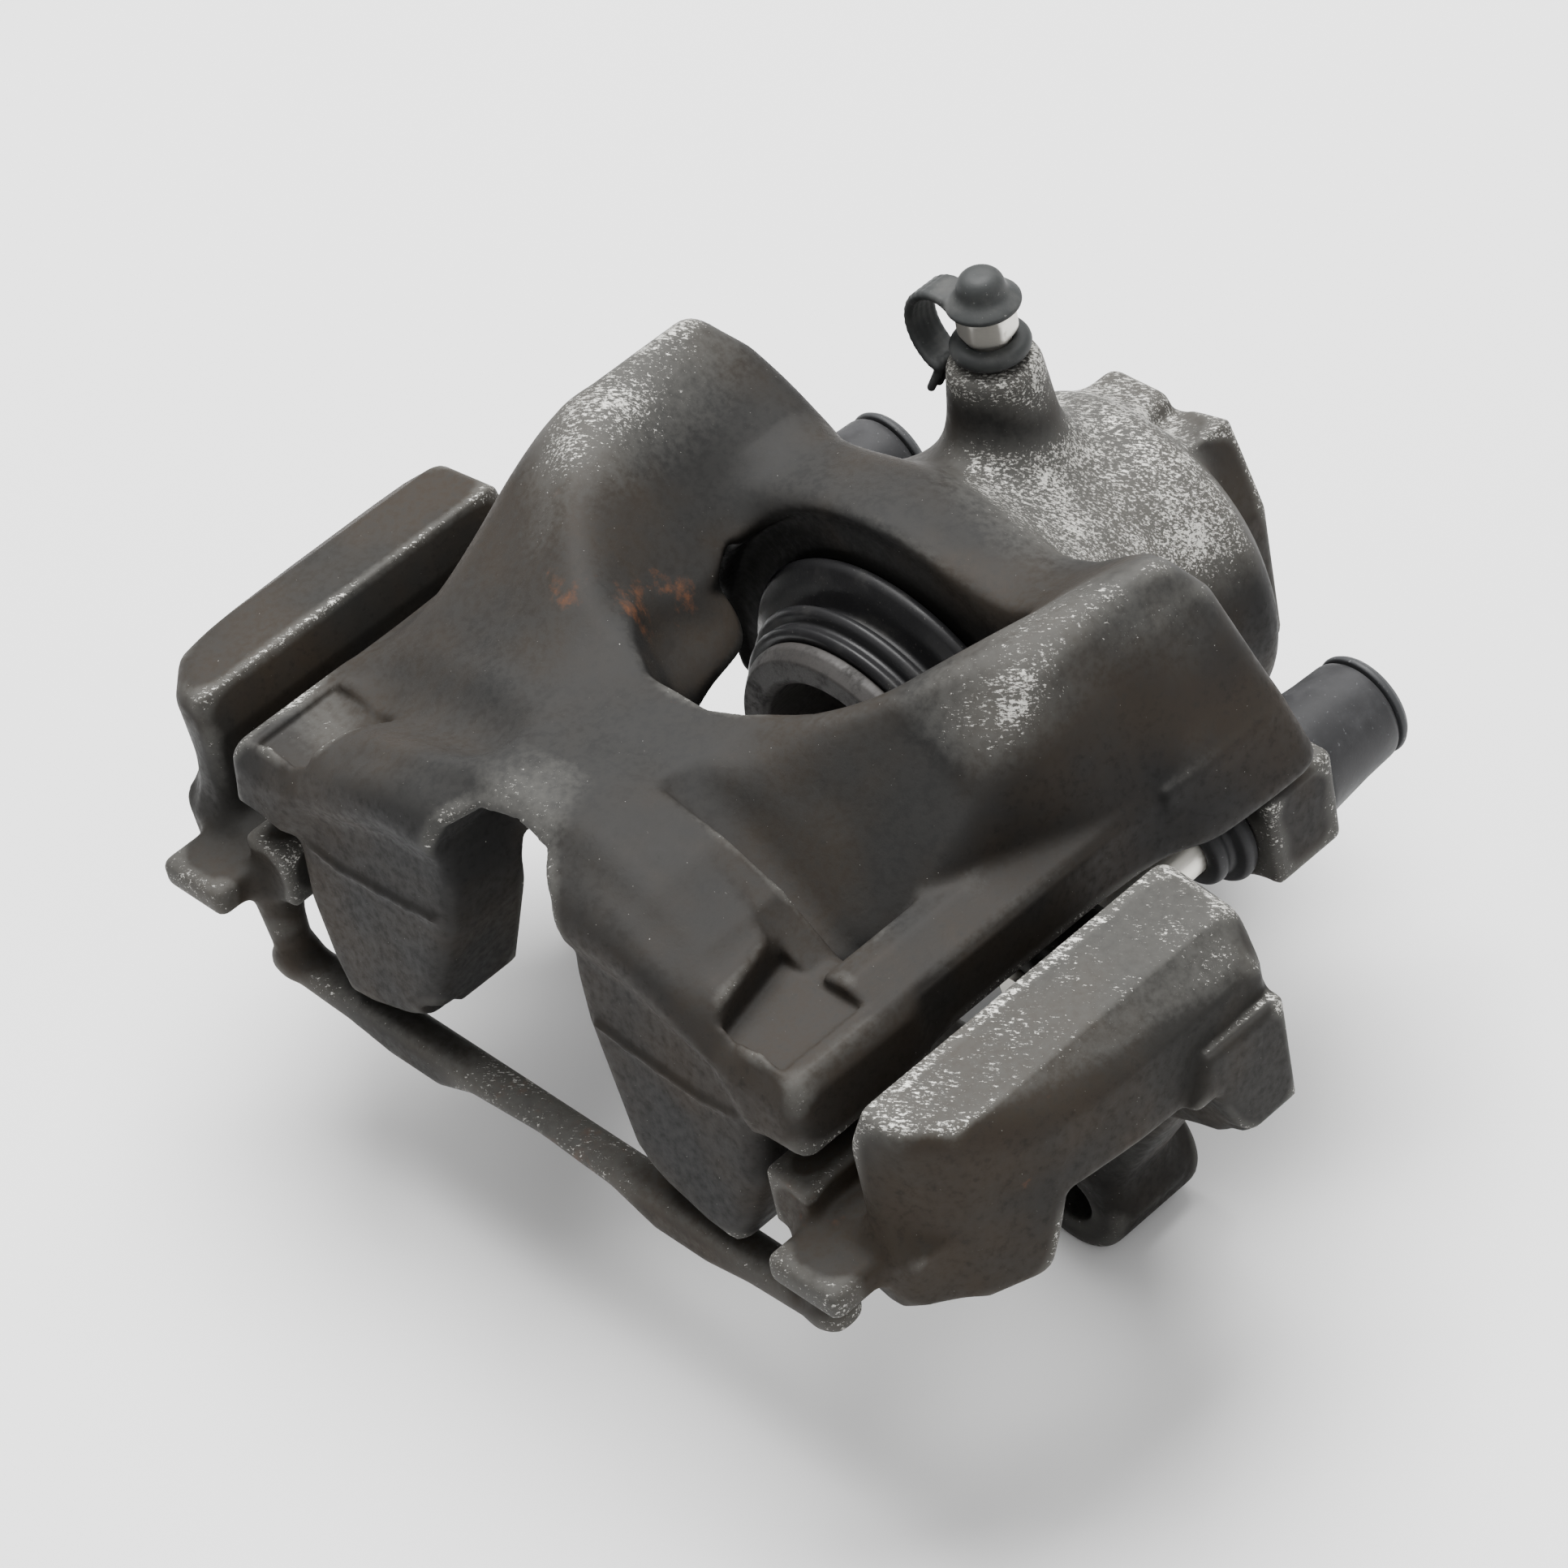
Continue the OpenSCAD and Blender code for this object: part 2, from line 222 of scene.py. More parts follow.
class Casting:
    """A block of space that shapes are joined to and cut from."""

    def __init__(self, low, high, step=STEP):
        self.step = step
        count = [int(math.ceil((b - a) / step)) + 1 for a, b in zip(low, high)]
        self.axes = [a + step * np.arange(n, dtype=np.float32) for a, n in zip(low, count)]
        self.d = np.full(count, 20, np.float32)

    def patch(self, low, high, margin):
        part, grid = [], []
        for i, axis in enumerate(self.axes):
            a, b = np.searchsorted(axis, (low[i] - margin, high[i] + margin))
            part.append(slice(a, max(b, a)))
            shape = [1, 1, 1]
            shape[i] = -1
            grid.append(axis[part[-1]].reshape(shape))
        return tuple(part), grid

    def join(self, shape, k=2.0):
        distance, low, high = shape
        part, grid = self.patch(low, high, k + 6)
        if 0 not in self.d[part].shape:
            self.d[part] = smooth_min(self.d[part], distance(*grid), k)

    def cut(self, shape, k=1.5):
        distance, low, high = shape
        part, grid = self.patch(low, high, k + 6)
        if 0 not in self.d[part].shape:
            self.d[part] = smooth_max(self.d[part], -distance(*grid), k)

    def mirror(self):
        """Adds the left half to a casting made from x = 0."""
        self.d = np.concatenate([self.d[:0:-1], self.d])
        self.axes[0] = np.concatenate([-self.axes[0][:0:-1], self.axes[0]])

    def blurred(self, radius):
        """The distances, averaged over about radius millimetres."""
        d = self.d
        n = max(1, int(round(radius / self.step)))
        for axis in range(3):
            for _ in range(2):
                total = np.copy(d)
                for s in range(1, n + 1):
                    pad = [(0, 0)] * 3
                    pad[axis] = (s, s)
                    wide = np.pad(d, pad, mode="edge")
                    cut_low, cut_high = [slice(None)] * 3, [slice(None)] * 3
                    cut_low[axis] = slice(0, d.shape[axis])
                    cut_high[axis] = slice(2 * s, 2 * s + d.shape[axis])
                    total += wide[tuple(cut_low)] + wide[tuple(cut_high)]
                d = total / (2 * n + 1)
        return d

    def sample(self, d, points):
        """d at points between the grid's own."""
        start = np.array([a[0] for a in self.axes])
        t = np.clip((points - start) / self.step, 0, np.array(d.shape) - 1.001)
        i = t.astype(np.int64)
        f = (t - i).astype(np.float32)
        result = 0
        for corner in range(8):
            o = [(corner >> a) & 1 for a in range(3)]
            w = np.prod([f[:, a] if o[a] else 1 - f[:, a] for a in range(3)], axis=0)
            result = result + w * d[i[:, 0] + o[0], i[:, 1] + o[1], i[:, 2] + o[2]]
        return result

    def bend(self, points, radius):
        """How sharply the surface turns: above zero on edges, below zero in corners, per millimetre."""
        d = self.blurred(radius)
        h = max(self.step, radius)
        total = -6 * self.sample(d, points)
        for axis in range(3):
            for sign in (-1, 1):
                shift = np.zeros(3)
                shift[axis] = sign * h
                total = total + self.sample(d, points + shift)
        return total / (h * h)

    def surface(self):
        """Points and four-sided faces of the surface where the distance is zero."""
        d = self.d
        inside = d < 0
        cells = tuple(n - 1 for n in d.shape)
        views = {}
        count = np.zeros(cells, np.int8)
        for c in range(8):
            o = [(c >> a) & 1 for a in range(3)]
            views[c] = tuple(slice(o[a], o[a] + cells[a]) for a in range(3))
            count += inside[views[c]]
        live = (count > 0) & (count < 8)
        where = np.argwhere(live)
        number = np.full(cells, -1, np.int64)
        number[live] = np.arange(len(where))
        corner = {c: d[views[c]][live] for c in range(8)}
        total = np.zeros((len(where), 3))
        hits = np.zeros(len(where))
        for a in range(8):
            for axis in range(3):
                b = a | (1 << axis)
                if a == b:
                    continue
                va, vb = corner[a], corner[b]
                cross = (va < 0) != (vb < 0)
                t = np.where(cross, va / np.where(cross, va - vb, 1), 0)
                place = np.array([(a >> s) & 1 for s in range(3)], float)[None, :].repeat(len(where), 0)
                place[:, axis] = t
                total += place * cross[:, None]
                hits += cross
        start = np.array([a[0] for a in self.axes])
        points = start + self.step * (where + total / hits[:, None])
        quads = []
        for axis in range(3):
            u, v = (axis + 1) % 3, (axis + 2) % 3
            near = [slice(None)] * 3
            far = [slice(None)] * 3
            near[axis], far[axis] = slice(0, -1), slice(1, None)
            first, second = inside[tuple(near)], inside[tuple(far)]
            edges = np.argwhere(first != second)
            edges = edges[(edges[:, u] > 0) & (edges[:, v] > 0)]
            edges = edges[(edges[:, u] < cells[u]) & (edges[:, v] < cells[v])]
            out = first[tuple(edges.T)]
            ring = []
            for du, dv in ((1, 1), (0, 1), (0, 0), (1, 0)):
                cell = edges.copy()
                cell[:, u] -= du
                cell[:, v] -= dv
                ring.append(number[tuple(cell.T)])
            ring = np.stack(ring, 1)
            ring[~out] = ring[~out][:, ::-1]
            quads.append(ring)
        quads = np.concatenate(quads)
        quads = quads[(quads >= 0).all(1)]
        for _ in range(2):
            points = self.settle(points)
        return points, quads

    def settle(self, points):
        """Moves points onto the surface."""
        value = self.sample(self.d, points)
        slope = np.empty_like(points)
        for axis in range(3):
            shift = np.zeros(3)
            shift[axis] = self.step * 0.5
            ahead, behind = self.sample(self.d, points + shift), self.sample(self.d, points - shift)
            slope[:, axis] = (ahead - behind) / self.step
        size = np.maximum((slope ** 2).sum(1), 0.2)
        move = -(value / size)[:, None] * slope
        reach = self.step * 0.4
        return points + np.clip(move, -reach, reach)


def new_object(name, points, faces, marks=None):
    """A mesh object from points in millimetres about the piston axis's height, with per-point values."""
    mesh = bpy.data.meshes.new(name)
    points = np.asarray(points, float) + np.array([0, 0, AXIS_Z])
    if isinstance(faces, np.ndarray):
        mesh.vertices.add(len(points))
        mesh.vertices.foreach_set("co", (points * MM).astype(np.float32).ravel())
        mesh.loops.add(faces.size)
        mesh.loops.foreach_set("vertex_index", faces.astype(np.int32).ravel())
        mesh.polygons.add(len(faces))
        mesh.polygons.foreach_set("loop_start", (np.arange(len(faces)) * faces.shape[1]).astype(np.int32))
        mesh.update(calc_edges=True)
        mesh.validate()
    else:
        mesh.from_pydata([tuple(p * MM) for p in points], [], faces)
    for key, values in (marks or {}).items():
        layer = mesh.attributes.new(key, "FLOAT", "POINT")
        layer.data.foreach_set("value", np.asarray(values, np.float32))
    mesh.polygons.foreach_set("use_smooth", [True] * len(mesh.polygons))
    obj = bpy.data.objects.new(name, mesh)
    bpy.context.scene.collection.objects.link(obj)
    return obj


def cast_object(name, casting, wear):
    """The casting as an object. wear(points, normals) gives by place its chips, its rust, the painted shade
    on its inner faces, and upward faces for a film that is part dust and part painted light.
    """
    points, quads = casting.surface()
    marks = {
        "edge": casting.bend(points, 1.4),
        "form": casting.bend(points, 4.0),
    }
    obj = new_object(name, points, quads, marks)
    normals = np.empty(len(obj.data.vertices) * 3, np.float32)
    obj.data.vertices.foreach_get("normal", normals)
    normals = normals.reshape(-1, 3)
    for key, values in wear(points, normals).items():
        layer = obj.data.attributes.new(key, "FLOAT", "POINT")
        layer.data.foreach_set("value", np.asarray(values, np.float32))
    return obj


def upward(normals):
    """How far each point of a surface looks up, from 0 to 1."""
    return np.clip((normals[:, 2] - 0.35) / 0.55, 0, 1)


def spots(points, places):
    """Sum of soft spots: (centre, reach, strength)."""
    total = np.zeros(len(points))
    for centre, reach, strength in places:
        gap = ((points - np.array(centre)) ** 2).sum(1)
        total += strength * np.exp(-gap / (reach * reach))
    return total


# ---------------------------------------------------------------- housing
def dish(x, y, z):
    reach = 0.972 * (x - 51) - 0.233 * (y - 5)
    return (z - 61 - 1.1 * reach) / 1.49


def front_wall(x, y, z):
    reach = 0.357 * (x - 34) - 0.934 * (y + 28.4)
    return (z - 52.5 - 2.6 * reach) / 2.8


def inner_face(x, y, z):
    """Inner side of the right arm: a dish, with a wall at its front."""
    return smooth_min(dish(x, y, z), front_wall(x, y, z), 9)


def join_bridge(c):
    # Bridge plate and the top of the finger block
    plate_top = [(-2, 46), (17, 45.5), (31, 40.5), (48, 31), (53, 28), (70, 28), (72, 26), (72.5, 15),
                 (60, 14.5), (52, 24), (30, 31), (-2, 32)]
    c.join(meet([
        prism(plate_top, (-88, -40), edge=0.5),
        half_space((0, -82.5, 30), (0, -1, 0.12)),
        half_space((0, -72, 45.2), (0, -0.62, 1)),
        half_space((0, -59, 46), (0, 0.3, 1)),
        half_space((0, -52.5, 20), (0, 1, 0.05)),
    ], (-2, -88, 10), (75, -48, 50), k=4.5), k=0)
    # Fingers
    finger = [(12, 42), (14, 26), (16.5, 13), (26, -11.5), (33, -15), (43, -17.8), (50, -18.5),
              (54, -12), (58.5, 0), (59.8, 18), (56, 34)]
    c.join(meet([
        prism(finger, (-88, -63), edge=0.5),
        half_space((0, -83.5, 0), (0, -1, 0.12)),
        half_space((0, -70, 45), (0, -0.62, 1)),
    ], (8, -88, -22), (64, -60, 46), k=5), k=5)
    # Centre of the bridge plate
    c.join(meet([
        prism([(-2, 45.5), (16, 45), (30, 41.5), (42, 36), (50, 24), (30, 31), (-2, 32)], (-74, -26),
              edge=1.5),
        half_space((0, -74, 30), (0, -1, 0.2)),
    ], (-2, -78, 20), (50, -26, 48), k=4), k=5)


def join_arm(c):
    # Front flank, top, sides, rear end and inner face
    c.join(meet([
        half_space(*FLANK),
        half_space((34.1, -28.4, 52.2), (-0.289, -0.271, 0.918)),
        half_space((64, -10, 53.4), (0.946, -0.294, 0.134)),
        half_space((61, 0, 54), (0.915, 0, 0.403)),
        half_space((0, 0, 60.4), (0, 0, 1)),
        half_space((0, 31.5, 40), (0, 1, 0.25)),
        half_space((0, 0, 15), (0, 0, -1)),
        half_space((0, -56, 20), (0, -1, 0)),
        inner_face,
    ], (8, -56, 15), (76, 34, 64), k=4.5), k=4)
    # Rails along both sides
    rail = [(57, 30.5), (62, 31.5), (69.5, 29), (70.6, 27), (70.6, 15.5), (62, 14), (56, 22)]
    c.join(prism(rail, (-81, 30.5), edge=1.3), k=2)
    c.join(box((64, 4.5, 15.5), (72.4, 30, 29.5), 1.2), k=0.8)


def join_cylinder(c):
    # Wall around the cylinder mouth, down to the ears
    wall = [(-2, 46), (20, 44), (36, 44), (50, 50), (60, 49), (66.5, 34), (70.5, 28), (70, 14),
            (52, 12), (47, -10), (-2, -14)]
    c.join(prism(wall, (MOUTH_Y, 31), edge=4), k=10)
    c.join(rod((0, 0), 46, (MOUTH_Y - 1, 48), r_end=35, edge=4), k=10)
    # Cylinder with its tapered back
    c.join(rod((0, 0), 34.4, (MOUTH_Y, BACK_Y - 4), edge=3), k=10)
    c.join(rod((0, 0), 33, (BACK_Y - 9, BACK_Y), r_end=28, edge=2), k=3)
    # Ears
    c.join(box((20, 27.5, -12), (60, 44, 9), 2.5), k=6)
    c.join(box((56, 27.5, -11), (72, 44, 9.5), 1.6), k=2)
    c.join(rod((PIN_X, PIN_Z), 11.6, (27.5, 44), edge=1.2), k=1.5)


def cut_front(c):
    # Flat step at the outer end of the finger block
    c.cut(prism([(47.5, -61), (66, -61), (66, -79), (52, -79)], (28.3, 42), along="z", edge=0.3), k=1.5)
    # Space for the disc and pads, the window and the gap between the fingers
    c.cut(rod((0, -75), 104, (-63, -44), edge=1.5), k=3)
    c.cut(rod((0, -118), 149.5, (-48, 5), edge=1.5), k=3)
    c.cut(box((-3, -31, 8), (33, 3, 36), 3), k=2)
    c.cut(rod((0, 0), 44.3, (-12, MOUTH_Y - 1), edge=1), k=3)
    gap = [(0, 41.5), (8, 40.6), (12.6, 37.4), (14.4, 33), (14, 27), (12.9, 20), (14.6, 10),
           (21.8, -10), (24, -16), (24, -30), (-3, -30), (-3, 41.5)]
    c.cut(prism(gap, (-95, -60), edge=0.5, r=1.4), k=2.4)
    # Seat of the pad retainer in the inner lower corner of each finger
    c.cut(rod((27, -11), 2.1, (-90, -78), edge=0.4), k=0.8)
    # Parting line across the finger fronts
    line = [(21, -81.9, 15), (28, -81.9, 14), (36, -82, 13.4), (46, -82, 12.6), (54, -81.7, 13.6)]
    for start, stop in zip(line, line[1:]):
        c.join(sausage(start, stop, 0.75, 0.75), k=0.8)


def cut_window(c):
    # Window over the disc, wider behind the right arm
    window = [(7, -33), (13, -30.5), (18.5, -26), (21.5, -20), (22.5, -12), (23.5, -3), (28, 1.5),
              (34, 3.5), (35, 9), (-8, 7), (-14, 3.5), (-19, -4), (-21, -12), (-21.5, -20),
              (-18.5, -26), (-13, -30.5), (-7, -33)]
    c.cut(prism(window, (20, 75), along="z", edge=0.5, r=3.2), k=1.8)
    # Valley between the right arm's front flank and the finger block
    flank = half_space(*FLANK)
    foot = half_space((18.4, -54, 42.6), (0.527, 0, 0.85))
    c.cut(meet([
        lambda x, y, z: -flank(x, y, z),
        half_space((0, -54, 38), (0, -1, -0.1)),
        half_space((0, -24, 38), (0, 1, 0)),
        half_space((13.5, 0, 38), (-1, 0, 0.2)),
        half_space((57, 0, 38), (1, 0, -0.15)),
        lambda x, y, z: -foot(x, y, z),
    ], (10, -60, 14), (64, -22, 60), k=2), k=1.6)


def join_left_flank(c):
    # The left arm's flank is fuller, with a soft valley at its foot
    c.join(meet([
        half_space((-34, -28.4, 51), (-0.263, -0.394, 0.881)),
        half_space((-64, -10, 53.4), (-0.966, -0.15, 0.21)),
        half_space((-34, -28.4, 52.2), (0.289, -0.271, 0.918)),
        half_space((0, -4, 40), (0, 1, 0)),
        half_space((0, -62, 40), (0, -1, 0)),
        half_space((-8, 0, 40), (1, 0, 0)),
        half_space((0, 0, 24), (0, 0, -1)),
        lambda x, y, z: inner_face(-x, y, z),
    ], (-76, -64, 22), (-6, -2, 60), k=6), k=6)
    c.cut(sausage((-22, -62, 48.6), (-58, -60.5, 39.6), 8, 8), k=5)


def join_ports(c):
    # Bleeder boss
    c.join(rod((BLEEDER_X, BLEEDER_Y), 12.4, (22, BOSS_TOP), along="z", r_end=8.4, edge=1.4), k=9)
    # Back: hose port slab and the lump above it
    slab = [(-12, -22), (18.5, -22), (18.5, 8), (12, 26), (3, 24), (-12, 14)]
    c.join(prism(slab, (BACK_Y - 14, BACK_Y + 10), edge=1.4), k=2.5)
    c.join(box((-15.5, BACK_Y - 18, 4), (0, BACK_Y + 8, 27.5), 3), k=4)


def cut_bores(c):
    c.cut(rod((0, 0), PISTON_R + 0.2, (MOUTH_Y - 5, BACK_Y - 9), edge=0.2), k=1.2)
    c.cut(rod((0, 0), PISTON_R + 3, (MOUTH_Y - 5, MOUTH_Y + 7.5), edge=0.2), k=1.2)
    for side in (-1, 1):
        c.cut(rod((side * PIN_X, PIN_Z), 8.1, (20, 50), edge=0.2), k=0.8)
    c.cut(rod((4, 8), 5, (BACK_Y - 2, BACK_Y + 10), edge=0.2), k=0.8)
    c.cut(rod((BLEEDER_X, BLEEDER_Y), 4.2, (36, BOSS_TOP + 4), along="z", edge=0.2), k=0.8)


def housing_wear(p, n):
    lit = np.clip((n[:, 2] - 0.1) / 0.6, 0, 1)
    chips = spots(p, [
        ((53, 6, 58), 17, 0.75), ((58, -12, 52), 12, 0.8), ((62, 24, 48), 13, 0.6),
        ((47, -20, 52), 9, 0.35), ((-53, 6, 58), 17, 0.75), ((-50, -12, 57), 13, 0.75),
        ((-42, -26, 50), 8, 0.35), ((-55, 24, 54), 12, 0.5), ((64, -31, 35), 5, 0.75),
        ((69, 12, 29), 9, 0.6), ((-66, -66, 29), 9, 0.6), ((-56, -70, 28), 7, 0.5),
        ((14, 56, 32), 22, 1.0), ((22, 34, 38), 15, 0.7), ((4, 36, 42), 10, 0.45),
        ((26, 68, 18), 16, 0.85), ((-6, 70, 30), 16, 0.8), ((30, 45, 12), 12, 0.4),
        ((BLEEDER_X, BLEEDER_Y, 50), 16, 0.95), ((-6, 80, 24), 12, 0.8), ((68, 34, 8), 14, 0.35),
        ((-24, -34, 44), 7, 0.4), ((26, -26, 50), 9, 0.3), ((52, -73, 26), 6, 0.3),
        ((18, 84, 10), 8, 0.4)])
    chips *= 0.35 + 0.65 * lit
    rust = spots(p, [((-44, -18, 54), 6, 0.4), ((-36, -28, 50), 6, 0.4), ((-28, -34, 47), 6, 0.4),
                     ((-22, -28, 42), 8, 0.45), ((-24, -14, 40), 8, 0.35), ((0, -37, 44), 9, 0.25),
                     ((20, 16, 46), 12, 0.2), ((30, 4, 44), 9, 0.25)])
    # Painted shade: inner faces that look down, between the arms and the fingers, are marked to be painted
    # near-black
    inside = np.clip((39 - p[:, 2]) / 4, 0, 1) * np.clip((60 - np.abs(p[:, 0])) / 3, 0, 1)
    inside *= np.clip((p[:, 1] + 61) / 2, 0, 1) * np.clip((14 - p[:, 1]) / 2, 0, 1)
    inside *= np.clip((0.45 - n[:, 2]) / 0.2, 0, 1)
    # dust marks upward faces: the film it drives is part dust, part painted light on the tops
    return {"chips": chips, "rust": rust * (1 - inside), "painted_inner_shade": inside,
            "dust": upward(n)}


def make_housing():
    """The right half, its mirror image, and then what differs from side to side."""
    c = Casting((0, -90, -30), (78, 92, 64))
    join_bridge(c)
    join_arm(c)
    join_cylinder(c)
    cut_front(c)
    c.mirror()
    cut_window(c)
    join_left_flank(c)
    join_ports(c)
    cut_bores(c)
    return cast_object("housing_casting", c, housing_wear)


# ---------------------------------------------------------------- carrier
def make_carrier():
    c = Casting((0, -98, -70), (112, 4, 36))
    section = [(83, 30), (98, 28.5), (107, 21.5), (108, 10), (107.5, -11.5), (84, -11.5), (80, 6), (79.5, 22)]
    plan = [(78, -80.5), (88, -81.5), (98.5, -72), (104, -58), (107, -41), (108.5, -20), (107.5, -10),
            (99, -6), (78, -5.5)]
    c.join(meet([
        prism(section, (-84, -4), edge=0.5),
        prism(plan, (-20, 40), along="z", edge=0.5),
    ], (78, -84, -14), (108, -4, 31), k=5), k=0)
    c.join(prism([(-34, 2), (-27, 15), (-9, 15), (-9, -8), (-34, -8)], (100, 109.4), along="x",
                 edge=0.8), k=1.2)
    c.cut(sausage((86, -86, 30), (92, -83.5, 12), 5.5, 4.5), k=4)
    # Arch cut under the outer face
    c.cut(prism([(-61, -16), (-55, 4), (-27, 4), (-19, -16)], (88, 120), along="x", edge=0.5, r=1), k=3)
    # Front root, abutment and lug
    c.join(prism([(67, 1), (82, 4), (94, 4), (92, -8), (80, -11), (70, -11), (67, -7)], (-82, -61),
                 edge=2), k=4)
    c.join(box((61.5, -84, -5), (72, -61, 8), 1.2), k=1)
    c.join(box((60.5, -62, -5), (72, -50, 8), 1.2), k=1)
    c.join(box((70, -94, -5), (86.5, -76, 1.2), 2), k=3)
    # Rear root, abutment, leg and knuckle boss
    c.join(box((60.5, -20, -9), (84, -6, 8), 1.5), k=3)
    leg = [(57.5, 0), (84, 6), (102, 6), (102, -12), (90, -17), (72, -46), (50, -46), (50, -24)]
    c.join(prism(leg, (-22, -6), edge=2.5), k=3)
    c.join(rod((60, LEG_Z), 12.5, (-22, 0), edge=1.2), k=4)
    c.join(rod((PIN_X, PIN_Z), 8.5, (-22, -6), edge=1), k=2)
    c.join(prism([(50, -30), (70, -40), (72, -53), (48, -53)], (-20, -6), edge=2.5), k=4)
    # Tie bar with risers, and the cross bar between the legs
    tie = [(-4, -19.5), (68, -19.5), (73, -21), (73, -24), (69, -25.5), (52, -26.5), (41, -28.5),
           (28, -28.5), (18, -24.5), (-4, -22.6)]
    c.join(prism(tie, (-86, -78), edge=1.6), k=0.5)
    c.join(sausage((69.2, -82, -22.2), (70.4, -82, -4), 3.3, 4.4), k=3)
    c.join(box((-5, -20, -59), (54, -6, -45), 3), k=5)
    # Holes
    c.cut(rod((60, LEG_Z), 6, (-30, 4), edge=0.2), k=0.8)
    c.cut(rod((PIN_X, PIN_Z), 3.9, (-30, 0), edge=0.2), k=0.6)
    c.mirror()

    def wear(p, n):
        top = np.clip((n[:, 2] - 0.55) / 0.3, 0, 1)
        right = (p[:, 0] > 0).astype(float)
        chips = top * (0.62 * right + 0.12) * (p[:, 2] > 15)
        chips = chips + spots(p, [((102, -76, 8), 12, 0.35), ((84, -78, 24), 8, 0.4),
                                  ((106, -14, 20), 10, 0.3), ((-84, -60, 28), 12, 0.2)])
        rust = spots(p, [((0, -80, -20), 30, 0.35), ((70, -80, 2), 12, 0.32), ((-70, -80, 2), 12, 0.3),
                         ((107, -60, 8), 26, 0.2)])
        # Painted shade: the carrier's inner parts under the housing are marked to be painted dark
        inside = np.clip((78 - np.abs(p[:, 0])) / 4, 0, 1) * np.clip((p[:, 1] + 62) / 4, 0, 1)
        # dust marks upward faces: the film it drives is part dust, part painted light on the tops
        return {"chips": chips, "rust": rust, "painted_inner_shade": 0.7 * inside,
                "dust": upward(n)}
    return cast_object("carrier_casting", c, wear)


# ---------------------------------------------------------------- turned pieces
def rounded(profile, r, steps=5):
    """The profile with each corner turned into an arc of about radius r."""
    points = [Vector(p) for p in profile]
    result = []
    for before, here, after in zip(points[-1:] + points[:-1], points, points[1:] + points[:1]):
        a, b = before - here, after - here
        reach = min(r, a.length * 0.45, b.length * 0.45)
        if reach < 1e-6 or abs(a.normalized().cross(b.normalized())) < 0.05:
            result.append(here)
            continue
        p, q = here + a.normalized() * reach, here + b.normalized() * reach
        for i in range(steps + 1):
            t = i / steps
            result.append(p * (1 - t) ** 2 + here * 2 * t * (1 - t) + q * t * t)
    return result


def dense(profile, gap):
    """The closed profile with no stretch longer than gap."""
    result = []
    for p, q in zip(profile, profile[1:] + profile[:1]):
        n = max(1, int((q - p).length / gap))
        result += [p.lerp(q, i / n) for i in range(n)]
    return result


def lathe(name, profile, centre, along="y", r=0.5, turns=144, gap=1.2, wobble=0.0, seed=1):
    """A closed profile of (radius, position) turned about an axis through centre."""
    points = dense(rounded(profile, r), gap)
    random = np.random.default_rng(seed)
    phase = random.uniform(0, 6.28, 6)
    verts, faces = [], []
    n = len(points)
    for j in range(turns):
        angle = 2 * math.pi * j / turns
        uneven = 1 + wobble * sum(math.sin((i + 2) * angle + phase[i]) for i in range(3))
        c, s = math.cos(angle), math.sin(angle)
        for p in points:
            radius = p[0] * (uneven if p[0] > 0.5 else 1)
            if along == "y":
                verts.append((centre[0] + radius * c, p[1], centre[1] + radius * s))
            else:
                verts.append((centre[0] + radius * c, centre[1] + radius * s, p[1]))
        for i in range(n):
            k = (j + 1) % turns
            a, b = j * n + i, j * n + (i + 1) % n
            d, e = k * n + (i + 1) % n, k * n + i
            faces.append((a, b, d, e) if along == "y" else (e, d, b, a))
    obj = new_object(name, verts, faces)
    tidy(obj)
    return obj


def tidy(obj):
    """Merges doubled points and turns all faces outwards."""
    work = bmesh.new()
    work.from_mesh(obj.data)
    bmesh.ops.remove_doubles(work, verts=work.verts, dist=2e-6)
    bmesh.ops.dissolve_degenerate(work, edges=work.edges, dist=2e-6)
    bmesh.ops.recalc_face_normals(work, faces=work.faces)
    work.to_mesh(obj.data)
    work.free()


def place(obj, body, node, material, slot):
    """Puts a finished piece on its body in place of its CAD node."""
    obj.data.materials.append(material)
    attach(obj, body)
    if node:
        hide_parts(node)
    return obj


